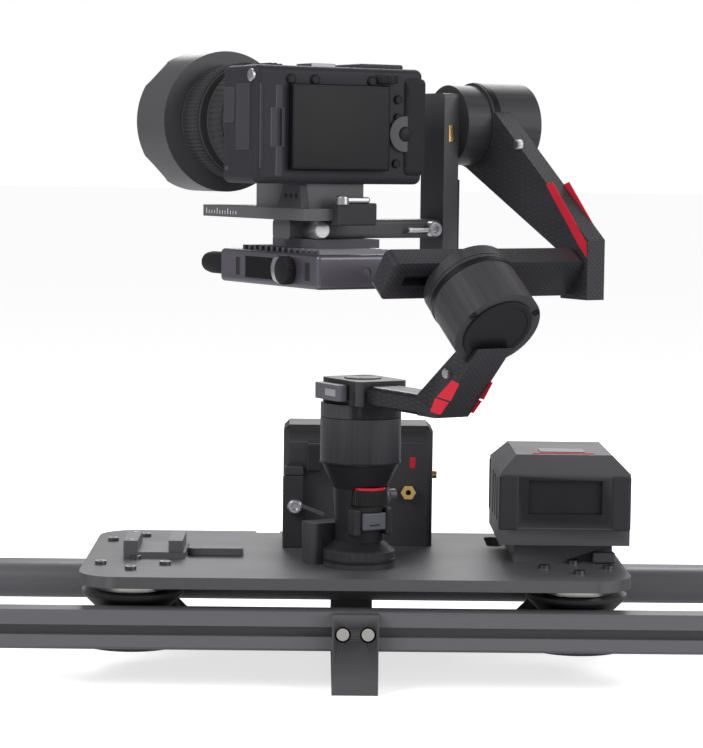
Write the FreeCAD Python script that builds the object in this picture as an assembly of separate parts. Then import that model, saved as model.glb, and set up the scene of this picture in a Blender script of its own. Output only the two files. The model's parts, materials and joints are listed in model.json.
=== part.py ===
import FreeCAD, Part
import math
import os
from FreeCAD import Vector

# Motorised camera slider with a three-axis gimbal and camera on its carriage.
# Millimetres. X runs along the rails, Y away from the operator, Z up.
# The origin is the tripod thread under the centre bracket.

# --- driving dimensions ---
RAIL_LEN = 800.0
RAIL_HALF_GAUGE = 111.0      # outer rail face from the centre line
RAIL_H = 27.0
RAIL_Z = 41.5                # height of the rail centre line
RAIL_D = 32.0
SLOT_W = 7.0
SLOT_LIP = 2.5
SLOT_IN_W = 12.0
SLOT_IN_D = 4.0
RAIL_BORE_R = 5.0
END_T = 12.0
FOOT_R = 14.0
FOOT_T = 6.0
STUD_R = 4.0
PLATE_L = 380.0
PLATE_W = 218.0
PLATE_T = 8.0
PLATE_TOP = 77.5
PLATE_CORNER = 28.0
WHEEL_X = 155.0
WHEEL_Y = 54.0
WHEEL_R = 35.6
WHEEL_H = 38.4
WHEEL_THROAT_R = 23.0
ROLL_GAP = 0.3               # wheel flank to rail nose
BEARING_R = 11.0
BEARING_H = 7.0
BEARING_FIT = 0.05
AXLE_R = 4.0
SPACER_R = 26.0
SPACER_H = 8.0
SCREW_PCD_R = 22.5
SCREW_HEAD_R = 4.0
SCREW_HEAD_H = 2.4
BRACKET_W = 31.5
BRACKET_T = 10.0
THREAD_R = 3.97
FOOT_PLATE_T = 7.6
BEAM_TOP = 18.0              # clears the wheels that pass over it
BOX_X0, BOX_W = -52.0, 110.0
BOX_Y0, BOX_D = 40.0, 52.0
BOX_H = 89.0
BOX_COVER_H = 10.0
BATT_X0, BATT_W = 102.0, 92.0
BATT_Y0, BATT_D = -40.0, 110.0
BATT_PLATE_H = 14.0
BATT_H = 63.0
CLAMP_X, CLAMP_Y = -142.0, 0.0
CLAMP_L, CLAMP_W, CLAMP_H = 44.0, 50.0, 12.0
PAN_X, PAN_Y = 3.0, -50.0
YAW = 30.0                   # rest heading of the gimbal, turned left
MOTOR_R = 28.2
MOTOR_TOP = 182.6
DIAL_R, DIAL_H, DIAL_Y, DIAL_Z = 13.5, 11.0, -11.0, 122.0
CENTRE_Z = 386.0             # where the three gimbal axes meet
ROLL_TILT = 38.2             # slope of the roll axis
ROLL_R = 30.0
ROLL_L = 40.0
ROLL_BACK = 214.0            # roll motor cap from the centre, along its axis
BAR_T, BAR_W = 14.0, 30.0
GAP = 0.5                    # running gap between motor halves
TILT_R = 30.0
TILT_X0, TILT_L = 88.0, 40.0
ARM_X0, ARM_T = 56.0, 12.0
CAM_CX, CAM_BACK = -45.0, -45.0
CAM_W, CAM_D, CAM_H = 129.7, 48.0, 77.8
CAM_Z0 = 344.5
LENS_X_OFF, LENS_Z = -8.0, 387.0
LENS_R, LENS_L = 39.0, 120.0
HOOD_R, HOOD_L, HOOD_T = 50.0, 40.0, 2.5
RING_FIT = 0.3
TX_W, TX_D, TX_H, TX_Z0 = 83.5, 138.0, 23.0, 275.0
UP = Vector(0, 0, 1)


def box(x0, y0, z0, dx, dy, dz):
    return Part.makeBox(dx, dy, dz, Vector(x0, y0, z0))


def cyl(radius, length, base, axis=UP):
    return Part.makeCylinder(radius, length, Vector(*base), Vector(*axis))


def tube(outer, inner, length, base, axis=UP):
    return cyl(outer, length, base, axis).cut(cyl(inner, length, base, axis))


def edges_along(shape, axis):
    picked = []
    for edge in shape.Edges:
        if len(edge.Vertexes) != 2:
            continue
        step = edge.Vertexes[1].Point - edge.Vertexes[0].Point
        if step.Length > 1e-6 and abs(abs(step.normalize().dot(axis)) - 1) < 1e-6:
            picked.append(edge)
    return picked


def round_box(x0, y0, z0, dx, dy, dz, radius, axis=UP):
    solid = box(x0, y0, z0, dx, dy, dz)
    return solid.makeFillet(radius, edges_along(solid, axis))


def soft_box(x0, y0, z0, dx, dy, dz, radius):
    solid = box(x0, y0, z0, dx, dy, dz)
    return solid.makeFillet(radius, solid.Edges)


def revolve(points, x, y):
    outline = Part.makePolygon([Vector(r, 0, z) for r, z in points + points[:1]])
    solid = Part.Face(outline).revolve(Vector(0, 0, 0), UP, 360)
    solid.translate(Vector(x, y, 0))
    return solid


def group(shapes):
    return Part.makeCompound(shapes)


def on_gimbal(shape):
    turned = shape.copy()
    turned.rotate(Vector(0, 0, 0), UP, YAW)
    turned.translate(Vector(PAN_X, PAN_Y, 0))
    return turned


def save(name, shape):
    shape.exportStep("parts/" + name + ".step")


def rail(side):
    nose_r = RAIL_H / 2
    nose_y = RAIL_HALF_GAUGE - RAIL_D + nose_r
    flat = box(-RAIL_LEN / 2, nose_y, RAIL_Z - nose_r, RAIL_LEN,
               RAIL_HALF_GAUGE - nose_y, RAIL_H)
    corners = [e for e in edges_along(flat, Vector(1, 0, 0))
               if e.CenterOfMass.y > RAIL_HALF_GAUGE - 1]
    solid = flat.makeChamfer(2.0, corners)
    solid = solid.fuse(cyl(nose_r, RAIL_LEN, (-RAIL_LEN / 2, nose_y, RAIL_Z), (1, 0, 0)))
    mouth = box(-RAIL_LEN / 2, RAIL_HALF_GAUGE - SLOT_LIP, RAIL_Z - SLOT_W / 2,
                RAIL_LEN, SLOT_LIP, SLOT_W)
    inner = box(-RAIL_LEN / 2, RAIL_HALF_GAUGE - SLOT_LIP - SLOT_IN_D,
                RAIL_Z - SLOT_IN_W / 2, RAIL_LEN, SLOT_IN_D, SLOT_IN_W)
    bore = cyl(RAIL_BORE_R, RAIL_LEN, (-RAIL_LEN / 2, nose_y, RAIL_Z), (1, 0, 0))
    solid = solid.cut(mouth).cut(inner).cut(bore).removeSplitter()
    if side < 0:
        solid = solid.mirror(Vector(0, 0, 0), Vector(0, 1, 0))
    return solid


def rail_frame():
    save("rail_front", rail(-1))
    save("rail_rear", rail(1))
    rail_top = RAIL_Z + RAIL_H / 2
    plate_z = FOOT_T + 4.0
    plates, feet, screws = [], [], []
    for end in (-1, 1):
        x0 = end * RAIL_LEN / 2 - (END_T if end < 0 else 0)
        plate = round_box(x0, -RAIL_HALF_GAUGE, plate_z, END_T, 2 * RAIL_HALF_GAUGE,
                          rail_top - plate_z, 5.0, Vector(1, 0, 0))
        for side in (-1, 1):
            y = side * (RAIL_HALF_GAUGE - RAIL_D / 2)
            foot = cyl(FOOT_R, FOOT_T, (x0 + END_T / 2, y, 0))
            feet.append(foot.fuse(cyl(STUD_R, 12.0, (x0 + END_T / 2, y, FOOT_T))))
            plate = plate.cut(cyl(STUD_R, 12.0, (x0 + END_T / 2, y, FOOT_T)))
            face_x = x0 + END_T if end > 0 else x0
            screws.append(cyl(SCREW_HEAD_R, SCREW_HEAD_H, (face_x, y, RAIL_Z), (end, 0, 0)))
        plates.append(plate)
    save("end_plates", group(plates))
    save("levelling_feet", group(feet))
    save("end_screws", group(screws))


def centre_bracket():
    rail_low = RAIL_Z - RAIL_H / 2
    width = 2 * (RAIL_HALF_GAUGE + BRACKET_T)
    beam = box(-BRACKET_W / 2, -width / 2, FOOT_PLATE_T, BRACKET_W, width,
               BEAM_TOP - FOOT_PLATE_T)
    seat_y = RAIL_HALF_GAUGE - RAIL_D + RAIL_H / 2
    screws = []
    for side in (-1, 1):
        y0 = RAIL_HALF_GAUGE if side > 0 else -RAIL_HALF_GAUGE - BRACKET_T
        pad_y0 = seat_y if side > 0 else -width / 2
        beam = beam.fuse(box(-BRACKET_W / 2, pad_y0, BEAM_TOP, BRACKET_W, width / 2 - seat_y,
                             rail_low - BEAM_TOP))
        beam = beam.fuse(box(-BRACKET_W / 2, y0, rail_low, BRACKET_W, BRACKET_T, RAIL_H))
        for x in (-8.5, 8.5):
            y = side * (RAIL_HALF_GAUGE + BRACKET_T)
            beam = beam.cut(cyl(5.5, 5.0, (x, y, RAIL_Z), (0, -side, 0)))
            y = side * (RAIL_HALF_GAUGE + BRACKET_T - 5.0)
            screws.append(cyl(4.25, 4.0, (x, y, RAIL_Z), (0, side, 0)))
    foot = box(-BRACKET_W / 2, -width / 2, 0, BRACKET_W, width, FOOT_PLATE_T)
    save("support_bracket", beam.removeSplitter())
    save("support_foot", foot.cut(cyl(THREAD_R, FOOT_PLATE_T, (0, 0, 0))))
    save("bracket_screws", group(screws))


def wheel(x, y):
    half = WHEEL_H / 2
    nose_from_axle = RAIL_HALF_GAUGE - RAIL_D + RAIL_H / 2 - WHEEL_Y
    apex = nose_from_axle - (RAIL_H / 2 + ROLL_GAP) * math.sqrt(2)
    throat = WHEEL_THROAT_R - apex
    lip = WHEEL_R - apex
    outline = [(BEARING_R, -half), (WHEEL_R, -half), (WHEEL_R, -lip),
               (WHEEL_THROAT_R, -throat), (WHEEL_THROAT_R, throat),
               (WHEEL_R, lip), (WHEEL_R, half), (BEARING_R, half)]
    return revolve([(r, z + RAIL_Z) for r, z in outline], x, y)


def carriage():
    low = PLATE_TOP - PLATE_T
    plate = round_box(-PLATE_L / 2, -PLATE_W / 2, low, PLATE_L, PLATE_W, PLATE_T, PLATE_CORNER)
    plate = plate.cut(round_box(99, 43, low, 12, 47, PLATE_T, 5.9))
    plate = plate.cut(box(-73, PLATE_W / 2 - 8, low, 18, 8, PLATE_T))
    spacers, axles, bearings, screws = [], [], [], []
    names = {(-1, -1): "front_left", (1, -1): "front_right",
             (-1, 1): "rear_left", (1, 1): "rear_right"}
    spacer_z = low - SPACER_H
    for (sx, sy), name in names.items():
        x, y = sx * WHEEL_X, sy * WHEEL_Y
        save("wheel_" + name, wheel(x, y))
        spacers.append(tube(SPACER_R, AXLE_R, SPACER_H, (x, y, spacer_z)))
        axle_z = RAIL_Z - WHEEL_H / 2
        axles.append(cyl(AXLE_R, low - axle_z, (x, y, axle_z)))
        for z in (axle_z + 2, RAIL_Z + WHEEL_H / 2 - BEARING_H - 2):
            bearings.append(tube(BEARING_R - BEARING_FIT, AXLE_R, BEARING_H, (x, y, z)))
        for dx, dy in ((1, 0), (-1, 0), (0, 1), (0, -1)):
            place = (x + dx * SCREW_PCD_R, y + dy * SCREW_PCD_R, PLATE_TOP)
            head = cyl(SCREW_HEAD_R, SCREW_HEAD_H, place)
            screws.append(head.cut(cyl(1.5, SCREW_HEAD_H, (place[0], place[1], PLATE_TOP + 1))))
    save("carriage_plate", plate)
    save("wheel_spacers", group(spacers))
    save("wheel_axles", group(axles))
    save("wheel_bearings", group(bearings))
    save("plate_screws", group(screws))


def control_box():
    body_h = BOX_H - BOX_COVER_H
    body = round_box(BOX_X0, BOX_Y0, PLATE_TOP, BOX_W, BOX_D, body_h, 5.0)
    cover = round_box(BOX_X0, BOX_Y0, PLATE_TOP + body_h, BOX_W, BOX_D, BOX_COVER_H, 5.0)
    top = PLATE_TOP + BOX_H
    rim = [e for e in cover.Edges if abs(e.CenterOfMass.z - top) < 1e-3]
    hexagon = [Vector(40 + 5.6 * math.cos(math.radians(60 * i)), BOX_Y0,
                      118 + 5.6 * math.sin(math.radians(60 * i))) for i in range(7)]
    nut = Part.Face(Part.makePolygon(hexagon)).extrude(Vector(0, -5, 0))
    nut = nut.cut(cyl(2.0, 5.0, (40, BOX_Y0, 118), (0, -1, 0)))
    side = tube(3.0, 1.5, 4.0, (BOX_X0 + BOX_W, BOX_Y0 + 25, 128), (1, 0, 0))
    save("control_box", body)
    save("control_box_cover", cover.makeChamfer(4.0, rim))
    save("box_connectors", group([nut, side]))


def battery():
    x0, y0 = BATT_X0, BATT_Y0
    z0 = PLATE_TOP + BATT_PLATE_H
    plate = box(x0 + 11, y0 + 11, PLATE_TOP, BATT_W - 22, BATT_D - 22, BATT_PLATE_H)
    for y in (-WHEEL_Y, WHEEL_Y):
        for dx, dy in ((1, 0), (-1, 0), (0, 1), (0, -1)):
            place = (WHEEL_X + dx * SCREW_PCD_R, y + dy * SCREW_PCD_R, PLATE_TOP)
            plate = plate.cut(cyl(SCREW_HEAD_R + 0.5, SCREW_HEAD_H + 0.5, place))
    save("battery_plate", plate)
    case = box(x0, y0, z0, BATT_W, BATT_D, BATT_H)
    case = case.makeChamfer(12.0, [e for e in case.Edges if abs(e.CenterOfMass.z - z0 - BATT_H) < 1e-3])
    case = case.cut(box(x0 + 20, y0, z0 + 22, BATT_W - 40, 3, 24))
    save("battery", case)
    save("battery_window", box(x0 + 30, y0 + 25, z0 + BATT_H, BATT_W - 60, 20, 0.8))


def accessory_clamp():
    base = box(CLAMP_X - CLAMP_L / 2, CLAMP_Y - CLAMP_W / 2, PLATE_TOP, CLAMP_L, CLAMP_W, 4)
    wall = box(CLAMP_X - CLAMP_L / 2, CLAMP_Y - CLAMP_W / 2, PLATE_TOP + 4, 10, CLAMP_W, CLAMP_H - 4)
    jaw = box(CLAMP_X + 10, CLAMP_Y - CLAMP_W / 2, PLATE_TOP + 4.3, 10, CLAMP_W, CLAMP_H - 4)
    pivot = (CLAMP_X + CLAMP_L / 2 + 6.5, CLAMP_Y - 8, PLATE_TOP)
    lever = cyl(6, 5, (pivot[0], pivot[1], PLATE_TOP + 0.3))
    lever = lever.fuse(box(pivot[0], pivot[1] - 5, PLATE_TOP + 0.3, 34, 10, 5)).removeSplitter()
    save("clamp_base", base.fuse(wall).removeSplitter())
    save("clamp_jaw", jaw)
    save("clamp_lever", lever)


def handle():
    shell = revolve([(0, PLATE_TOP), (25, PLATE_TOP), (25, 89), (17, 96), (17, 103), (19, 133),
                     (27, 150), (MOTOR_R, 151), (MOTOR_R, MOTOR_TOP), (0, MOTOR_TOP)], 0, 0)
    shell = shell.cut(box(-9.6, -21, 104.7, 19.2, 11, 12.6))
    trigger = soft_box(-9.3, -20.5, 105, 18.6, 7.2, 12, 1.0)
    saddle = round_box(-28.5, 16, PLATE_TOP, 57, 18, 29, 4.0).cut(shell)
    dial = cyl(DIAL_R, DIAL_H, (0, DIAL_Y, DIAL_Z))
    ring = tube(DIAL_R - 1.5, DIAL_R - 4, 1.5, (0, DIAL_Y, DIAL_Z + DIAL_H))
    shell = shell.cut(cyl(DIAL_R + GAP, DIAL_H + 1.5 + 2 * GAP, (0, DIAL_Y, DIAL_Z - GAP)))
    save("gimbal_handle", on_gimbal(shell))
    save("gimbal_saddle", on_gimbal(saddle))
    save("trigger", on_gimbal(trigger))
    save("front_dial", on_gimbal(dial))
    save("dial_ring", on_gimbal(ring))


def roll_point(distance):
    slope = math.radians(ROLL_TILT)
    return (0, -distance * math.cos(slope), CENTRE_Z - distance * math.sin(slope))


def pan_stage():
    rotor_z = MOTOR_TOP + GAP
    rotor = cyl(MOTOR_R, 9.5, (0, 0, rotor_z))
    clamp_z = rotor_z + 9.5
    rotor = rotor.fuse(round_box(-20, -30, clamp_z, 40, 52, 17, 5.0))
    cap = Vector(*roll_point(ROLL_BACK))
    elbow_y, arm_h, arm_w = -112.0, 14.0, 26.0
    flat = round_box(-arm_w / 2, elbow_y, clamp_z, arm_w, -30 - elbow_y, arm_h, 3.0, Vector(0, 1, 0))
    top_y, top_z = cap.y + 10.0, cap.z - 12.0
    side = [Vector(-arm_w / 2, elbow_y + 18, clamp_z), Vector(-arm_w / 2, elbow_y - 4, clamp_z),
            Vector(-arm_w / 2, top_y - 8, top_z), Vector(-arm_w / 2, top_y + 14, top_z),
            Vector(-arm_w / 2, elbow_y + 18, clamp_z + arm_h)]
    riser = Part.Face(Part.makePolygon(side + side[:1])).extrude(Vector(arm_w, 0, 0))
    slope = math.radians(ROLL_TILT)
    along = (0, math.cos(slope), math.sin(slope))
    stator = cyl(ROLL_R, ROLL_L, tuple(cap), along)
    save("pan_rotor", on_gimbal(rotor))
    save("pan_arm", on_gimbal(flat.fuse(riser).cut(stator).removeSplitter()))
    save("roll_motor", on_gimbal(stator))
    lever = round_box(-29, -18, clamp_z + 3, 8.4, 34, 11, 3.0)
    save("arm_lock_lever", on_gimbal(lever))


def roll_stage():
    slope = math.radians(ROLL_TILT)
    along = (0, math.cos(slope), math.sin(slope))
    start = roll_point(ROLL_BACK - ROLL_L - GAP)
    rotor = cyl(ROLL_R, 8.0, start, along)
    bar = round_box(-60, 0, -BAR_W / 2, 148.5, BAR_T, BAR_W, 4.0, Vector(0, 1, 0))
    bar = bar.cut(box(-48, -1, -4, 21, BAR_T / 2, 8))
    bar.rotate(Vector(0, 0, 0), Vector(1, 0, 0), ROLL_TILT)
    seat = roll_point(ROLL_BACK - ROLL_L - GAP - 8.0)
    bar.translate(Vector(*seat))
    foot_y, foot_z = seat[1], seat[2]
    outline = [(foot_y - 12, foot_z - 14), (foot_y + 18, foot_z - 14), (foot_y + 22, foot_z + 18),
               (18, CENTRE_Z - 24), (-20, CENTRE_Z + 16), (foot_y - 12, foot_z + 26)]
    points = [Vector(TILT_X0 + 0.5, y, z) for y, z in outline]
    upright = Part.Face(Part.makePolygon(points + points[:1])).extrude(Vector(BAR_T, 0, 0))
    motor = cyl(TILT_R, TILT_L, (TILT_X0, 0, CENTRE_Z), (1, 0, 0))
    save("roll_rotor", on_gimbal(rotor))
    save("roll_bar", on_gimbal(bar))
    save("upright_arm", on_gimbal(upright.cut(motor)))
    save("tilt_motor", on_gimbal(motor))


def tilt_stage():
    rotor_l = TILT_X0 - GAP - ARM_X0 - ARM_T
    rotor = cyl(TILT_R - 2, rotor_l, (ARM_X0 + ARM_T, 0, CENTRE_Z), (1, 0, 0))
    arm = round_box(ARM_X0, -15, 287, ARM_T, 30, 121, 3.0, Vector(1, 0, 0))
    bar = round_box(-65, -12, 307, ARM_X0 + 65, 24, 13, 3.0, Vector(1, 0, 0))
    plate = box(CAM_CX - 28, -45, 320, 56, 145, 8)
    riser = box(CAM_CX - 22, -38, 328, 44, 70, CAM_Z0 - 328)
    knob = cyl(6, 18, (-50, -12.3, 313.5), (0, -1, 0))
    save("tilt_rotor", on_gimbal(rotor))
    save("tilt_arm", on_gimbal(arm))
    save("crossbar", on_gimbal(bar))
    save("camera_plate", on_gimbal(plate))
    save("camera_riser", on_gimbal(riser))
    save("crossbar_knob", on_gimbal(knob))


def camera():
    x0 = CAM_CX - CAM_W / 2
    body = soft_box(x0, CAM_BACK, CAM_Z0, CAM_W, CAM_D, CAM_H, 5.0)
    lens_x, front = CAM_CX + LENS_X_OFF, CAM_BACK + CAM_D
    barrel = cyl(LENS_R - 5, LENS_L, (lens_x, front, LENS_Z), (0, 1, 0))
    barrel = barrel.cut(cyl(28, 12, (lens_x, front + LENS_L - 12, LENS_Z), (0, 1, 0)))
    inner = LENS_R - 5 + RING_FIT
    zoom = tube(LENS_R, inner, 26, (lens_x, front + 30, LENS_Z), (0, 1, 0))
    focus = tube(LENS_R + 1, inner, 28, (lens_x, front + 64, LENS_Z), (0, 1, 0))
    hood_y = front + 100
    hood = tube(HOOD_R, LENS_R - 5, 4, (lens_x, hood_y, LENS_Z), (0, 1, 0))
    shade = tube(HOOD_R, HOOD_R - HOOD_T, HOOD_L, (lens_x, hood_y + 4, LENS_Z), (0, 1, 0))
    for turn in range(4):
        notch = cyl(16, 2 * HOOD_R, (lens_x, hood_y + HOOD_L + 14, LENS_Z), (1, 0, 1))
        notch.rotate(Vector(lens_x, 0, LENS_Z), Vector(0, 1, 0), 90 * turn)
        shade = shade.cut(notch)
    glass = cyl(27.7, 3, (lens_x, front + LENS_L - 12, LENS_Z), (0, 1, 0))
    screen = soft_box(x0 + 24, CAM_BACK - 5.3, CAM_Z0 + 9, 76, 5, 57, 1.2)
    wheel_at = (x0 + CAM_W - 16, CAM_BACK - 0.3, CAM_Z0 + 34)
    save("camera_body", on_gimbal(body))
    save("lens_barrel", on_gimbal(barrel))
    save("zoom_ring", on_gimbal(zoom))
    save("focus_ring", on_gimbal(focus))
    save("lens_hood", on_gimbal(hood.fuse(shade).removeSplitter()))
    save("front_glass", on_gimbal(glass))
    save("camera_screen", on_gimbal(screen))
    save("control_wheel", on_gimbal(tube(12, 5, 2, wheel_at, (0, -1, 0))))


def transmitter():
    x0, y0 = -73.5, -65.0
    case = soft_box(x0, y0, TX_Z0, TX_W, TX_D, TX_H, 3.0)
    for x, radius in ((-20, 4.8), (-35, 3.0), (-5, 3.0)):
        case = case.cut(cyl(radius, 8, (x, y0, TX_Z0 + TX_H / 2), (0, 1, 0)))
    fins = [box(x0 + 8, y0 + 12 + 8 * i, TX_Z0 + TX_H, TX_W - 30, 3, 3) for i in range(14)]
    base = box(CAM_CX - 10, -30, TX_Z0 + TX_H + 3, 50, 60, 307 - TX_Z0 - TX_H - 3)
    antennas = []
    for x in (x0 + 14, x0 + 40):
        antennas.append(cyl(8, 45, (x, y0 + TX_D, TX_Z0 + TX_H / 2), (0, 1, 0)))
    knob = cyl(10, 7, (x0 - 0.3, y0 + 38, TX_Z0 + TX_H / 2), (-1, 0, 0))
    save("transmitter", on_gimbal(case))
    save("transmitter_fins", on_gimbal(group(fins)))
    save("transmitter_mount", on_gimbal(base))
    save("antennas", on_gimbal(group(antennas)))
    save("transmitter_knob", on_gimbal(knob))


os.makedirs("parts", exist_ok=True)
rail_frame()
centre_bracket()
carriage()
control_box()
battery()
accessory_clamp()
handle()
pan_stage()
roll_stage()
tilt_stage()
camera()
transmitter()
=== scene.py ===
import json
import math

import bmesh
import bpy
from mathutils import Matrix, Vector


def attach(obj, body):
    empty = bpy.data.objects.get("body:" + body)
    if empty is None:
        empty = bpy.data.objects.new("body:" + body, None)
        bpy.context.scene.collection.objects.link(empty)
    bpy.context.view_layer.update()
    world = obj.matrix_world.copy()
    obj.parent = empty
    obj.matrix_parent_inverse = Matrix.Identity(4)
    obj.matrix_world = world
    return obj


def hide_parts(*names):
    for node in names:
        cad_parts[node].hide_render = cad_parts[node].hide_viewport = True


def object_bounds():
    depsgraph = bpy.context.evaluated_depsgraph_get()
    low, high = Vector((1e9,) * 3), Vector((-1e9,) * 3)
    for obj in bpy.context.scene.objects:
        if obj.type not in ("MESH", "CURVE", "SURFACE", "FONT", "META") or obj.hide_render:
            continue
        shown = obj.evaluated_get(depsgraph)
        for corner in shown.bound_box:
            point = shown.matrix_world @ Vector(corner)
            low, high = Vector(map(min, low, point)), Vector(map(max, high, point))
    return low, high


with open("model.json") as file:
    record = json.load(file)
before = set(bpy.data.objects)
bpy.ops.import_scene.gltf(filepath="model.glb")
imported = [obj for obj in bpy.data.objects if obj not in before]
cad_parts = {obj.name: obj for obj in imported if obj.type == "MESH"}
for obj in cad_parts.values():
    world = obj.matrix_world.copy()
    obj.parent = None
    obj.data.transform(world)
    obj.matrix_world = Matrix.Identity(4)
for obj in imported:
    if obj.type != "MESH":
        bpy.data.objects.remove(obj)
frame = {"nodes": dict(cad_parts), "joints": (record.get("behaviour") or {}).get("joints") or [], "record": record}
cad_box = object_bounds()

# The gimbal's parts are placed in its own frame: X to its right, Y along the lens, Z up,
# with the origin under the pan axis. The slider's parts are placed in the row's frame.
# Offsets from a node's corners, and profile sizes, are in millimetres.
MM = 0.001
JOINTS = {joint["name"]: joint for joint in frame["joints"]}
SLOTS = {row["node"]: row["material_slot"] for row in frame["record"]["subparts"]}
PAN = Vector(JOINTS["pan"]["pos_m"])
SIDE = Vector(JOINTS["tilt"]["axis"])
YAW = math.atan2(SIDE.y, SIDE.x)
GIMBAL = Matrix.Translation((PAN.x, PAN.y, 0)) @ Matrix.Rotation(YAW, 4, "Z")
ROW = Matrix.Identity(4)
MATERIALS = {}

CAMERA_PLACE = (-0.0269, -1.785, 0.3594)
CAMERA_LENS = 120.3
CAMERA_SENSOR = 36
CAMERA_TURN = -0.76
CAMERA_ELEVATION = 85.15
CAMERA_ROLL = 0.7
AIM = (0, 0, 0.22)
FLOOR_HALF = 30.0
WORLD_STRENGTH = 0.3
LAMPS = (
    ("key", (-1.3, -1.2, 1.5), 22, 1.2),
    ("fill", (1.5, -1.0, 0.9), 14, 1.2),
    ("rim", (0.2, 1.6, 1.3), 24, 1.4),
)

BROAD_NOISE_SCALE = 18.0
WEAVE_SCALE = 130.0
ROUGHNESS_SPREAD = 0.09
DULL_SPECULAR = 0.16
METAL_SPECULAR = 0.5
BUMP_DEPTH = 0.0003
RIB_DEPTH = 0.7
THREADS = ((-20, 4.8), (-35, 3.0), (-5, 3.0))   # across the transmitter, and radius


# --- materials ---
def material(name, color, rough, metal=0.0, grain=900.0, bump=0.08, painted_highlight=0.0, pattern="noise", coat=0.0):
    """Fine grain in the bump, broad noise in colour and roughness, and pale edges as a painted highlight where
    light catches them.
    """
    mat = bpy.data.materials.new(name)
    mat.use_nodes = True
    nodes, links = mat.node_tree.nodes, mat.node_tree.links
    shader = nodes["Principled BSDF"]
    shader.inputs["Metallic"].default_value = metal
    shader.inputs["Coat Weight"].default_value = coat
    shader.inputs["Specular IOR Level"].default_value = METAL_SPECULAR if metal > 0.7 else DULL_SPECULAR
    coords = nodes.new("ShaderNodeTexCoord")
    fine = nodes.new("ShaderNodeTexNoise")
    fine.inputs["Scale"].default_value = grain
    fine.inputs["Detail"].default_value = 4.0
    broad = nodes.new("ShaderNodeTexNoise")
    broad.inputs["Scale"].default_value = BROAD_NOISE_SCALE
    for texture in (fine, broad):
        links.new(coords.outputs["Object"], texture.inputs["Vector"])
    rough_map = nodes.new("ShaderNodeMapRange")
    rough_map.inputs["To Min"].default_value = max(rough - ROUGHNESS_SPREAD, 0.03)
    rough_map.inputs["To Max"].default_value = min(rough + ROUGHNESS_SPREAD, 1.0)
    links.new(broad.outputs["Fac"], rough_map.inputs["Value"])
    links.new(rough_map.outputs["Result"], shader.inputs["Roughness"])
    height = fine.outputs["Fac"]
    shade = broad.outputs["Fac"]
    if pattern == "weave":
        waves = []
        for turn in (45, -45):
            turned = nodes.new("ShaderNodeMapping")
            turned.inputs["Rotation"].default_value = (math.radians(turn), math.radians(turn), 0.4)
            wave = nodes.new("ShaderNodeTexWave")
            wave.inputs["Scale"].default_value = WEAVE_SCALE
            links.new(coords.outputs["Object"], turned.inputs["Vector"])
            links.new(turned.outputs["Vector"], wave.inputs["Vector"])
            waves.append(wave)
        cross = nodes.new("ShaderNodeMath")
        cross.operation = "MULTIPLY"
        links.new(waves[0].outputs["Fac"], cross.inputs[0])
        links.new(waves[1].outputs["Fac"], cross.inputs[1])
        height = shade = cross.outputs["Value"]
    if pattern == "leather":
        cells = nodes.new("ShaderNodeTexVoronoi")
        cells.inputs["Scale"].default_value = grain
        links.new(coords.outputs["Object"], cells.inputs["Vector"])
        height = cells.outputs["Distance"]
    tint = nodes.new("ShaderNodeMix")
    tint.data_type = "RGBA"
    tint.inputs["A"].default_value = (*[c * 0.75 for c in color], 1)
    tint.inputs["B"].default_value = (*[min(c * 1.35, 1) for c in color], 1)
    links.new(shade, tint.inputs["Factor"])
    color_out = tint.outputs["Result"]
    # Painted highlight: convex edges, found by pointiness, are mixed towards a pale grey as if light catches them.
    if painted_highlight > 0:
        geometry = nodes.new("ShaderNodeNewGeometry")
        edge = nodes.new("ShaderNodeMapRange")
        edge.inputs["From Min"].default_value = 0.53
        edge.inputs["From Max"].default_value = 0.62
        edge.inputs["To Max"].default_value = painted_highlight
        highlight_mix = nodes.new("ShaderNodeMix")
        highlight_mix.data_type = "RGBA"
        highlight_mix.inputs["B"].default_value = (0.3, 0.3, 0.32, 1)
        links.new(geometry.outputs["Pointiness"], edge.inputs["Value"])
        links.new(edge.outputs["Result"], highlight_mix.inputs["Factor"])
        links.new(color_out, highlight_mix.inputs["A"])
        color_out = highlight_mix.outputs["Result"]
    links.new(color_out, shader.inputs["Base Color"])
    bumps = nodes.new("ShaderNodeBump")
    bumps.inputs["Strength"].default_value = bump
    bumps.inputs["Distance"].default_value = BUMP_DEPTH
    links.new(height, bumps.inputs["Height"])
    links.new(bumps.outputs["Normal"], shader.inputs["Normal"])
    MATERIALS[name] = mat


# The seventh value in each row sets the strength of the painted edge highlight.
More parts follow.
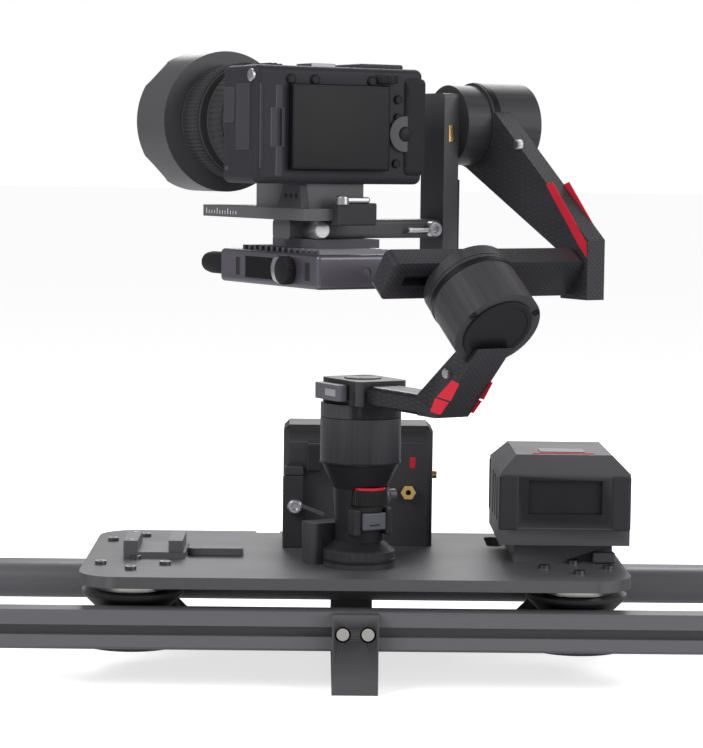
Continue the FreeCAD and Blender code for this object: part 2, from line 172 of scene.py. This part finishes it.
def make_materials():
    material("rail_black", (.022, .022, .026), .38, .1, 700, .06, .5)
    material("plate_black", (.022, .022, .025), .42, .1, 1200, .12, .4)
    material("rubber", (.02, .02, .021), .65, 0, 800, .25, .1)
    material("steel_dark", (.2, .2, .21), .3, 1, 600, .05, .2)
    material("steel", (.52, .50, .47), .24, 1, 500, .06)
    material("box_black", (.02, .02, .022), .45, .1, 1500, .2, .2)
    material("brass", (.62, .42, .16), .25, 1, 700, .06)
    material("motor_black", (.018, .018, .021), .4, .1, 1400, .1, .2)
    material("battery_plastic", (.028, .028, .033), .5, 0, 1600, .25, .3)
    material("display_grey", (.2, .2, .22), .3, 0, 500, .03)
    material("trigger_grey", (.11, .11, .13), .38, .3, 1200, .08, .2)
    material("red_trim", (.75, .025, .05), .4, 0, 900, .05)
    material("carbon", (.02, .021, .026), .36, .1, 900, .3, .1, "weave", .15)
    material("camera_grey", (.035, .035, .042), .5, .1, 1500, .2, .4)
    material("leather", (.02, .02, .023), .6, 0, 1100, .9, .1, "leather")
    material("lens_black", (.014, .014, .016), .38, .1, 1300, .08, .3)
    material("glass", (.01, .012, .03), .06, 0, 300, .01, 0, "noise", 1.0)
    material("transmitter_metal", (.17, .16, .19), .4, .8, 1300, .12, .3)
    material("silver", (.55, .55, .58), .3, 1, 900, .1)
    material("screen_black", (.005, .005, .007), .22, 0, 400, .01)
    material("wheel_black", (.016, .016, .018), .4, 0, 900, .1, .3)
    material("print_white", (.7, .7, .72), .5, 0, 900, .03)


def dress_cad():
    for node, obj in frame["nodes"].items():
        obj.data.materials.clear()
        obj.data.materials.append(MATERIALS[SLOTS[node]])


# --- mesh helpers; sizes and places in millimetres of the chosen frame ---
def finish_mesh(name, mesh_data, place, slot, body, bevel):
    mesh = bpy.data.meshes.new(name)
    mesh_data.to_mesh(mesh)
    mesh_data.free()
    mesh.transform(Matrix.Scale(MM, 4))
    mesh.transform(place)
    obj = bpy.data.objects.new(name, mesh)
    bpy.context.collection.objects.link(obj)
    mesh.materials.append(MATERIALS[slot])
    if bevel > 0:
        rounding = obj.modifiers.new("edges", "BEVEL")
        rounding.width = bevel * MM
        rounding.segments = 3
        rounding.limit_method = "ANGLE"
        rounding.harden_normals = True
    for face in mesh.polygons:
        face.use_smooth = True
    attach(obj, body)
    return obj


def block(name, low, high, slot, body, place=GIMBAL, bevel=0.8):
    data = bmesh.new()
    bmesh.ops.create_cube(data, size=1)
    for vert in data.verts:
        vert.co = Vector([low[i] if vert.co[i] < 0 else high[i] for i in range(3)])
    return finish_mesh(name, data, place, slot, body, bevel)


def plate_shape(name, outline, low, high, axis, slot, body, place=GIMBAL, bevel=0.3):
    """A flat outline of (a, b) pairs, thick from low to high along axis."""
    data = bmesh.new()
    order = {0: lambda a, b, t: (t, a, b), 1: lambda a, b, t: (a, t, b), 2: lambda a, b, t: (a, b, t)}[axis]
    rings = [[data.verts.new(order(a, b, t)) for a, b in outline] for t in (low, high)]
    data.faces.new(rings[0])
    data.faces.new(rings[1][::-1])
    count = len(outline)
    for i in range(count):
        data.faces.new((rings[0][i], rings[1][i], rings[1][(i + 1) % count], rings[0][(i + 1) % count]))
    bmesh.ops.recalc_face_normals(data, faces=data.faces)
    return finish_mesh(name, data, place, slot, body, bevel)


def circle(data, base, axis, count, radius, height, rib_depth):
    """One ring of vertices about axis; two in every four dip by rib_depth, which makes ribs."""
    turn = Vector(axis).to_track_quat("Z", "Y").to_matrix()
    ring = []
    for i in range(count):
        angle = 2 * math.pi * i / count
        r = radius - (rib_depth if i % 4 in (0, 1) else 0)
        spot = Vector((r * math.cos(angle), r * math.sin(angle), height))
        ring.append(data.verts.new(Vector(base) + turn @ spot))
    return ring


def bridge(data, lower, upper):
    count = len(lower)
    for i in range(count):
        j = (i + 1) % count
        data.faces.new((lower[i], lower[j], upper[j], upper[i]))


def lathe(name, base, axis, profile, slot, body, place=GIMBAL, ribs=0, depth=0.0, bevel=0.25):
    """Turns (radius, height) pairs about axis; ribs makes a knurled rim."""
    data = bmesh.new()
    count = max(48, ribs * 4)
    rings = [circle(data, base, axis, count, r, h, depth if ribs else 0) for r, h in profile]
    for lower, upper in zip(rings, rings[1:]):
        bridge(data, lower, upper)
    data.faces.new(rings[0][::-1])
    data.faces.new(rings[-1])
    bmesh.ops.recalc_face_normals(data, faces=data.faces)
    return finish_mesh(name, data, place, slot, body, bevel)


def rib_band(name, base, axis, inner, outer, length, ribs, slot, body):
    """An open band round the lens, smooth inside and ribbed outside."""
    data = bmesh.new()
    section = ((inner, 0, 0), (outer, 0, RIB_DEPTH), (outer, length, RIB_DEPTH), (inner, length, 0))
    loops = [circle(data, base, axis, ribs * 4, r, h, cut) for r, h, cut in section]
    for k in range(4):
        bridge(data, loops[k], loops[(k + 1) % 4])
    bmesh.ops.recalc_face_normals(data, faces=data.faces)
    return finish_mesh(name, data, GIMBAL, slot, body, 0)


def local_box(node, place=GIMBAL):
    """A CAD node's lowest and highest corners, in millimetres of the chosen frame."""
    back = place.inverted()
    points = [back @ v.co / MM for v in frame["nodes"][node].data.vertices]
    return [[pick(p[i] for p in points) for i in range(3)] for pick in (min, max)]


# --- details on the camera ---
def camera_details():
    (x0, y0, z0), (x1, y1, z1) = local_box("camera_body")
    body = "tilt_stage"
    block("camera_grip", (x1 - 16, y0 - 3, z0 + 6), (x1 + 1, y1 + 12, z1 - 6), "leather", body, bevel=4)
    block("camera_side_door", (x0 - 0.8, y0 + 8, z0 + 22), (x0 + 1, y0 + 27, z1 - 12), "camera_grey", body)
    block("camera_port_door", (x0 - 0.8, y0 + 29, z0 + 40), (x0 + 1, y1 - 4, z1 - 14), "camera_grey", body)
    block("camera_vent_slot", (x0 + 3, y0 - 0.4, z0 + 10), (x0 + 5.5, y0 + 2, z1 - 12), "lens_black",
          body, bevel=0.4)
    block("camera_hinge", (x0 + 11, y0 - 0.25, z0 + 24), (x0 + 22, y0 + 1, z0 + 50), "camera_grey", body)
    block("camera_screen_post", (x0 + 15, y0 - 0.25, z0 + 5), (x0 + 20, y0 + 1, z1 - 13), "camera_grey",
          body, bevel=1.5)
    block("camera_shoe", (x0 + 48, y0 + 12, z1 - 0.5), (x0 + 67, y0 + 32, z1 + 2.4), "steel_dark", body,
          bevel=0.5)
    block("camera_top_plate", (x0 + 84, y0 + 8, z1 - 0.5), (x0 + 118, y1 - 4, z1 + 3), "camera_grey",
          body, bevel=1.5)
    for index, x in enumerate((x0 + 26, x0 + 44, x0 + 88)):
        lathe("camera_top_button_%d" % index, (x, y0 + 0.5, z1 - 9), (0, -1, 0),
              [(3.4, 0), (3.4, 1.6), (2.6, 2.3)], "lens_black", body)
    for index, (dx, dz) in enumerate(((21, 57), (21, 45), (22, 14), (10, 14))):
        lathe("camera_back_button_%d" % index, (x1 - dx, y0 + 0.5, z0 + dz), (0, -1, 0),
              [(3.0, 0), (3.0, 1.8), (2.2, 2.4)], "lens_black", body)
    lathe("camera_thumb_dial", (x1 - 30, y0 - 1, z1 - 8), (0, 0, 1),
          [(7, -2), (7.5, -1), (7.5, 3), (7, 4)], "lens_black", body, ribs=24, depth=0.6)
    lathe("control_wheel_hub", (x1 - 16, y0 - 0.4, z0 + 34), (0, -1, 0),
          [(4.6, 0), (4.6, 2.6), (3.2, 3.2)], "motor_black", "control_wheel")
    lathe("camera_strap_lug", (x0 + 0.5, y0 + 6, z1 - 7), (-1, 0, 0),
          [(4.2, 0), (4.2, 1.6), (2.5, 2.2)], "silver", body)
    (s0, t0, u0), (s1, _, u1) = local_box("camera_screen")
    block("screen_glass", (s0 + 1.6, t0 - 0.1, u0 + 1.6), (s1 - 1.6, t0 + 0.8, u1 - 1.6), "screen_black",
          "camera_screen", bevel=0.3)
    for index, dz in enumerate((10, 60)):
        lathe("camera_side_screw_%d" % index, (x0 + 0.3, y0 + 40, z0 + dz), (-1, 0, 0),
              [(1.6, 0), (1.6, 0.6), (1.0, 0.8)], "steel_dark", body)


def lens_details():
    for node, ribs in (("zoom_ring", 60), ("focus_ring", 90)):
        (x0, y0, z0), (x1, y1, z1) = local_box(node)
        centre = ((x0 + x1) / 2, y0 + 3, (z0 + z1) / 2)
        radius = (x1 - x0) / 2
        rib_band(node + "_grip", centre, (0, 1, 0), radius - 0.3, radius + 1.1, y1 - y0 - 6, ribs,
                 "rubber", node)
    (x0, y0, z0), (x1, y1, z1) = local_box("lens_barrel")
    axis_x, axis_z = (x0 + x1) / 2, (z0 + z1) / 2
    rib_band("aperture_ring", (axis_x, y0 + 12, axis_z), (0, 1, 0), 33.8, 37.6, 12, 44, "lens_black",
             "tilt_stage")
    rib_band("mount_ring", (axis_x, y0, axis_z), (0, 1, 0), 33.8, 36.0, 4, 30, "silver", "tilt_stage")
    block("lens_switch", (axis_x - 36.8, y0 + 5, axis_z - 6), (axis_x - 33, y0 + 11, axis_z + 6),
          "steel_dark", "tilt_stage")
    lathe("lens_mark", (axis_x - 37.2, y0 + 18, axis_z + 6), (-1, 0, 0), [(1.1, 0), (1.1, 0.7)],
          "red_trim", "tilt_stage")
    for index, radius in enumerate((22, 15)):
        lathe("lens_element_%d" % index, (axis_x, y1 - 9, axis_z), (0, 1, 0),
              [(radius, 0), (radius * 0.8, 1.2), (radius * 0.4, 2.0), (0.4, 2.2)], "glass", "tilt_stage")


def support_details():
    body = "tilt_stage"
    (x0, y0, z0), (x1, y1, z1) = local_box("camera_plate")
    for side, x in enumerate((x0 - 0.3, x1 - 0.9)):
        for tick in range(12):
            y = y1 - 6 - 4 * tick
            block("plate_tick_%d_%d" % (side, tick), (x, y, z0 + 2),
                  (x + 1.2, y + 0.8, z0 + (6 if tick % 4 == 0 else 4.4)),
                  "print_white", body, bevel=0.1)
    block("quick_clamp", (x0 + 22, y0 - 8, z0 - 3), (x1 - 4, y0 + 2, z1 + 4), "plate_black", body,
          bevel=1.2)
    lathe("quick_lever_pivot", (x0 + 26, y0 - 6, z1 + 3), (0, 0, 1), [(4.5, 0), (4.5, 5), (3.5, 6)],
          "silver", body)
    block("quick_lever", (x0 + 26, y0 - 9.5, z1 + 4), (x1 - 10, y0 - 4, z1 + 8), "silver", body, bevel=1.5)
    (rx0, ry0, rz0), (_, _, rz1) = local_box("camera_riser")
    plate_shape("side_bracket", [(ry0 - 4, rz0), (ry0 + 30, rz0), (ry0 + 22, rz1), (ry0, rz1)], rx0 - 6,
                rx0, 0,
                "camera_grey", body, bevel=0.6)
    for index in range(3):
        lathe("bracket_hole_%d" % index, (rx0 - 5.6, ry0 + 4 + 7 * index, (rz0 + rz1) / 2), (-1, 0, 0),
              [(1.8, 0), (1.8, 0.7), (1.2, 0.8)], "lens_black", body)
    (_, cy0, cz0), (cx1, _, cz1) = local_box("crossbar")
    lathe("crossbar_lever_ring", (cx1 - 8, cy0 + 1, (cz0 + cz1) / 2), (0, -1, 0),
          [(5.5, 0), (5.5, 7), (4.4, 8), (2.6, 8), (2.2, 5)], "silver", body)
    block("crossbar_lever", (cx1 - 30, cy0 - 6, (cz0 + cz1) / 2 - 2.6),
          (cx1 - 11, cy0 - 3, (cz0 + cz1) / 2 + 1), "silver",
          body, bevel=1.2)
    (kx0, ky0, kz0), (kx1, ky1, kz1) = local_box("crossbar_knob")
    knob = lathe("knob_knurl", ((kx0 + kx1) / 2, ky1, (kz0 + kz1) / 2), (0, -1, 0),
                 [(5.5, 0), (6.4, 1), (6.4, ky1 - ky0 - 1),
                  (5.6, ky1 - ky0)], "silver", "crossbar_knob", ribs=36, depth=0.5)
    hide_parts("crossbar_knob")
    (ax0, ay0, az0), (ax1, _, az1) = local_box("tilt_arm")
    block("arm_port", (ax0 + 3.5, ay0 - 0.3, az1 - 34), (ax1 - 3.5, ay0 + 1, az1 - 22), "brass", body,
          bevel=0.5)
    block("arm_edge_rib", (ax1 - 0.5, ay0 + 2, az0 + 4), (ax1 + 3, ay0 + 6, az1 - 60), "plate_black", body)


def transmitter_details():
    body = "tilt_stage"
    (x0, y0, z0), (_, _, z1) = local_box("transmitter")
    block("transmitter_screen", (x0 - 0.4, y0 + 62, z0 + 4), (x0 + 1, y0 + 100, z1 - 4), "screen_black",
          body, bevel=0.4)
    block("transmitter_port", (x0 - 0.4, y0 + 10, z0 + 5), (x0 + 1, y0 + 17, z1 - 5), "lens_black", body,
          bevel=1.5)
    block("transmitter_slot", (x0 - 0.4, y0 + 108, z0 + 5), (x0 + 1, y0 + 114, z1 - 5), "lens_black",
          body, bevel=1.5)
    lathe("transmitter_bump", (x0 + 6, y0 + 52, (z0 + z1) / 2), (-1, 0, 0),
          [(10, 0), (10, 5), (8.5, 8), (5, 9.5)], "silver", body)
    centre = (x0 - 0.3, y0 + 38, (z0 + z1) / 2)
    knob = lathe("transmitter_dial", centre, (-1, 0, 0), [(9.6, 0), (9.6, 5), (8.8, 6.6), (7.6, 6.9)],
                 "lens_black", "transmitter_knob", ribs=40, depth=0.4)
    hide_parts("transmitter_knob")
    for x, radius in THREADS:
        lathe("transmitter_thread_%d" % abs(x), (x, y0 + 1.2, (z0 + z1) / 2), (0, 1, 0),
              [(radius, 0), (radius * 0.6, 2.5), (radius * 0.6, 6)], "silver", body)
    (ax0, ay0, az0), (ax1, _, az1) = local_box("antennas")
    for index, x in enumerate((ax0 + 8, ax1 - 8)):
        obj = lathe("antenna_%d" % index, (x, ay0, (az0 + az1) / 2), (0, 1, 0),
                    [(6.4, 0), (6.4, 6), (7.9, 9), (7.9, 36), (7.0, 42),
                     (4.5, 45)], "rubber", body, bevel=0.6)
        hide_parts("antennas")


# --- details on the arms and motors ---
def arm_details():
    axis = Vector(JOINTS["roll"]["axis"])
    axis = GIMBAL.to_3x3().inverted() @ axis
    centre = GIMBAL.inverted() @ Vector(JOINTS["roll"]["pos_m"]) / MM
    back = GIMBAL.inverted()
    motor = [back @ v.co / MM for v in frame["nodes"]["roll_motor"].data.vertices]
    cap = centre - axis * max((centre - point).dot(axis) for point in motor)
    lathe("roll_cap_disc", cap, -axis, [(24.5, -0.5), (24.5, 1.2), (23.5, 1.8), (20.5, 1.8), (20, 1.1),
                                        (0.5, 1.1)],
          "motor_black", "pan_stage")
    for turn in (20, 140, 260):
        side = axis.orthogonal().normalized()
        side.rotate(Matrix.Rotation(math.radians(turn), 3, axis))
        lathe("roll_cap_lug_%d" % turn, cap + side * 27.3, -axis,
              [(2.6, -1), (2.6, 0.8), (1.6, 1.0), (1.4, 0.2)],
              "lens_black", "pan_stage")
    lathe("roll_band", cap + axis * 33, axis, [(30.0, 0), (30.5, 0.6), (30.5, 4.4), (30.0, 5)],
          "lens_black", "pan_stage")
    (px0, py0, pz0), (px1, _, _) = local_box("pan_arm")
    lower = [(py0 + 44, pz0 + 3), (py0 + 34, pz0 + 12), (py0 + 50, pz0 + 13.5), (py0 + 56, pz0 + 4)]
    upper = [(py0 + 32, pz0 + 13), (py0 + 22, pz0 + 25), (py0 + 30, pz0 + 27), (py0 + 48, pz0 + 14.5)]
    for index, outline in enumerate((lower, upper)):
        for side, x in enumerate((px0 - 0.25, px1 - 0.35)):
            plate_shape("pan_stripe_%d_%d" % (index, side), outline, x, x + 0.6, 0, "red_trim",
                        "pan_stage", bevel=0.1)
    lathe("pan_thumbscrew", (px0 + 1, py0 + 34, pz0 + 31), (-1, 0, 0), [(3.4, 0), (3.4, 4), (2.8, 5)],
          "silver",
          "pan_stage", ribs=20, depth=0.3)
    (ux0, uy0, uz0), (ux1, _, _) = local_box("upright_arm")
    outer = [(uy0 + 1, uz0 + 28), (uy0 + 1, uz0 + 38), (uy0 + 42, uz0 + 78), (uy0 + 49, uz0 + 76),
             (uy0 + 10, uz0 + 36)]
    for side, x in enumerate((ux0 - 0.25, ux1 - 0.35)):
        plate_shape("upright_stripe_%d" % side, outer, x, x + 0.6, 0, "red_trim", "roll_stage", bevel=0.1)
    lathe("upright_thumbscrew", (ux0 + 1, uy0 + 82, uz0 + 103), (-1, 0, 0),
          [(3.6, 0), (3.6, 3), (2.8, 4)], "silver",
          "roll_stage", ribs=20, depth=0.3)
    (mx0, my0, mz0), (mx1, my1, mz1) = local_box("tilt_motor")
    mid = ((my0 + my1) / 2, (mz0 + mz1) / 2)
    lathe("tilt_cap", (mx1, *mid), (1, 0, 0), [(27, -0.5), (27, 1.5), (24, 2.6), (8, 2.6)], "motor_black",
          "roll_stage")
    lathe("tilt_band", (mx0 + 1, *mid), (1, 0, 0), [(30.0, 0), (30.4, 0.5), (30.4, 5), (30.0, 5.5)],
          "lens_black", "roll_stage")
    (_, _, _), (_, _, gz1) = local_box("pan_rotor")
    lathe("pan_top_recess", (0, -2, gz1 - 0.3), (0, 0, 1),
          [(13, 0), (13, 1), (11.5, 1.4), (10, 0.7), (0.5, 0.7)],
          "lens_black", "pan_stage")
    (lx0, ly0, lz0), (_, _, lz1) = local_box("arm_lock_lever")
    block("lever_recess", (lx0 - 0.3, ly0 + 4, lz0 + 3), (lx0 + 0.6, ly0 + 18, lz1 - 3), "silver",
          "arm_lock_lever", bevel=0.25)


def handle_details():
    body = "carriage"
    (_, _, z0), (_, _, z1) = local_box("gimbal_handle")
    lathe("motor_seam", (0, 0, z1 - 32), (0, 0, 1), [(28.1, 0), (28.5, 0.4), (28.5, 1.2), (28.1, 1.6)],
          "lens_black", body)
    lathe("base_ring", (0, 0, z0 + 4), (0, 0, 1), [(25, 0), (25.6, 0.5), (25.6, 2), (25, 2.5)],
          "plate_black", body)
    (tx0, ty0, tz0), (tx1, _, tz1) = local_box("trigger")
    for name, low, high in (("left", (tx0 - 6, ty0 + 1, tz0 - 4), (tx0 - 0.5, ty0 + 12, tz1 + 3)),
                            ("right", (tx1 + 0.5, ty0 + 1, tz0 - 4), (tx1 + 6, ty0 + 12, tz1 + 3))):
        block("trigger_guard_" + name, low, high, "motor_black", body, bevel=1.8)
    block("trigger_dash", (-4, ty0 - 0.2, tz0 + 3), (4, ty0 + 0.4, tz0 + 4.2), "lens_black", "trigger",
          bevel=0.15)
    (dx0, dy0, dz0), (dx1, dy1, dz1) = local_box("front_dial")
    dial = lathe("dial_knurl", ((dx0 + dx1) / 2, (dy0 + dy1) / 2, dz0), (0, 0, 1),
                 [(13, 0), (13.5, 0.6), (13.5, dz1 - dz0 - 0.6),
                  (13, dz1 - dz0)], "rubber", "front_dial", ribs=48, depth=0.5)
    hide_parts("front_dial")
    lathe("side_knob", (17.5, 2, 126), (1, 0, 0),
          [(8.5, 0), (8.5, 3), (6, 6), (4, 6.5), (4, 12), (3.5, 12.6)],
          "trigger_grey", body)


# --- details on the slider itself ---
def carriage_details():
    body = "carriage"
    (x0, y0, z0), (x1, _, z1) = local_box("control_box", ROW)
    block("cradle_column", (x0, y0 - 13, z0), (x0 + 15, y0 - 0.2, z0 + 53), "plate_black", body, ROW, 1.2)
    block("cradle_cap", (x0 + 1, y0 - 13.5, z0 + 53), (x0 + 15, y0 - 0.2, z0 + 60), "camera_grey", body,
          ROW, 1.5)
    block("cradle_bar", (x0 + 17, y0 - 13, z0 + 56), (x0 + 28, y0 - 0.2, z1 - 2), "box_black", body, ROW, 2)
    lathe("cradle_lever_ring", (x0 + 9, y0 - 12, z0 + 31), (0, -1, 0),
          [(5.5, 0), (5.5, 6), (4.5, 7), (2.5, 7), (2.2, 5)],
          "silver", body, ROW)
    lever = [(x0 + 12, z0 + 31), (x0 + 13, z0 + 33.5), (x0 + 31, z0 + 26.5), (x0 + 30, z0 + 23.5)]
    plate_shape("cradle_lever", lever, y0 - 18, y0 - 15.5, 1, "trigger_grey", body, ROW, 0.5)
    block("status_window", (x1 - 17, y0 - 0.3, z0 + 58), (x1 - 13, y0 + 0.6, z0 + 66), "red_trim", body,
          ROW, 0.3)
    block("box_edge_seam", (x0 + 4, y0 - 0.35, z1 - 3), (x1 - 4, y0 + 0.6, z1 - 1.8), "lens_black", body,
          ROW, 0.1)
    (bx0, by0, bz0), (bx1, by1, bz1) = local_box("battery", ROW)
    for index, x in enumerate((bx0, bx1 - 13)):
        block("battery_corner_%d" % index, (x - 0.6, by0 - 0.8, bz0 + 10), (x + 13.6, by0 + 9, bz1 - 13),
              "battery_plastic", "battery", ROW, 2.2)
        block("battery_rear_corner_%d" % index, (x - 0.6, by1 - 9, bz0 + 10),
              (x + 13.6, by1 + 0.8, bz1 - 13),
              "battery_plastic", "battery", ROW, 2.2)
    for side, x in enumerate((bx0 - 0.6, bx1 - 0.6)):
        for rib in range(3):
            block("battery_rib_%d_%d" % (side, rib), (x, by0 + 28 + 20 * rib, bz0 + 14),
                  (x + 1.2, by0 + 40 + 20 * rib, bz1 - 18),
                  "battery_plastic", "battery", ROW, 0.5)
    block("battery_seam", (bx0 + 6, by0 - 0.5, bz0 + 11.4), (bx1 - 6, by0 + 0.6, bz0 + 12.6),
          "lens_black", "battery", ROW, 0.1)
    block("battery_red_line", (bx0 + 24, by0 + 18, bz1 - 0.2), (bx1 - 24, by0 + 19.6, bz1 + 0.6),
          "red_trim", "battery", ROW, 0.1)
    (_, py0, pz0), (px1, _, _) = local_box("battery_plate", ROW)
    block("battery_latch", (px1 - 14, py0 - 4, pz0 + 0.5), (px1 + 2, py0 + 1, pz0 + 8), "trigger_grey",
          body, ROW, 1.2)
    (cx0, cy0, cz0), (cx1, cy1, cz1) = local_box("clamp_base", ROW)
    for side, x in enumerate((cx0 + 5, cx1 - 5)):
        for y in (cy0 + 6, cy1 - 6):
            lathe("clamp_screw_%d_%d" % (side, y > 0), (x, y, (cz1 if side == 0 else cz0 + 3.9)), (0, 0, 1),
                  [(2.2, 0), (2.2, 0.25), (1.2, 0.28)], "steel", body, ROW, bevel=0)


# --- stage, light and camera ---
def stage():
    data = bmesh.new()
    bmesh.ops.create_grid(data, x_segments=2, y_segments=2, size=FLOOR_HALF)
    mesh = bpy.data.meshes.new("floor")
    data.to_mesh(mesh)
    data.free()
    floor = bpy.data.objects.new("floor", mesh)
    floor.location.z = cad_box[0][2]
    bpy.context.collection.objects.link(floor)
    mat = bpy.data.materials.new("floor_pale")
    mat.use_nodes = True
    nodes, links = mat.node_tree.nodes, mat.node_tree.links
    nodes["Principled BSDF"].inputs["Base Color"].default_value = (.86, .86, .87, 1)
    nodes["Principled BSDF"].inputs["Roughness"].default_value = .8
    path = nodes.new("ShaderNodeLightPath")
    links.new(path.outputs["Is Camera Ray"], nodes["Principled BSDF"].inputs["Emission Strength"])
    nodes["Principled BSDF"].inputs["Emission Color"].default_value = (.7, .7, .7, 1)
    mesh.materials.append(mat)
    world = bpy.data.worlds.new("studio")
    bpy.context.scene.world = world
    world.use_nodes = True
    nodes, links = world.node_tree.nodes, world.node_tree.links
    sky = nodes["Background"]
    path = nodes.new("ShaderNodeLightPath")
    seen = nodes.new("ShaderNodeMapRange")
    seen.inputs["To Min"].default_value = WORLD_STRENGTH
    seen.inputs["To Max"].default_value = 1.0
    links.new(path.outputs["Is Camera Ray"], seen.inputs["Value"])
    links.new(seen.outputs["Result"], sky.inputs["Strength"])
    sky.inputs["Color"].default_value = (1, 1, 1, 1)
    for name, place, energy, size in LAMPS:
        light = bpy.data.lights.new(name, "AREA")
        light.energy = energy
        light.size = size
        lamp = bpy.data.objects.new(name, light)
        lamp.location = place
        aim = Vector(AIM) - Vector(place)
        lamp.rotation_euler = aim.to_track_quat("-Z", "Y").to_euler()
        bpy.context.collection.objects.link(lamp)


def camera():
    data = bpy.data.cameras.new("view")
    data.lens = CAMERA_LENS
    data.sensor_width = CAMERA_SENSOR
    eye = bpy.data.objects.new("view", data)
    turn = Matrix.Rotation(math.radians(CAMERA_TURN), 4, "Z")
    lean = Matrix.Rotation(math.radians(CAMERA_ELEVATION), 4, "X")
    roll = Matrix.Rotation(math.radians(CAMERA_ROLL), 4, "Z")
    eye.matrix_world = Matrix.Translation(CAMERA_PLACE) @ turn @ lean @ roll
    bpy.context.collection.objects.link(eye)
    bpy.context.scene.camera = eye
    bpy.context.scene.view_settings.view_transform = "Standard"


make_materials()
dress_cad()
camera_details()
lens_details()
support_details()
transmitter_details()
arm_details()
handle_details()
carriage_details()
stage()
camera()
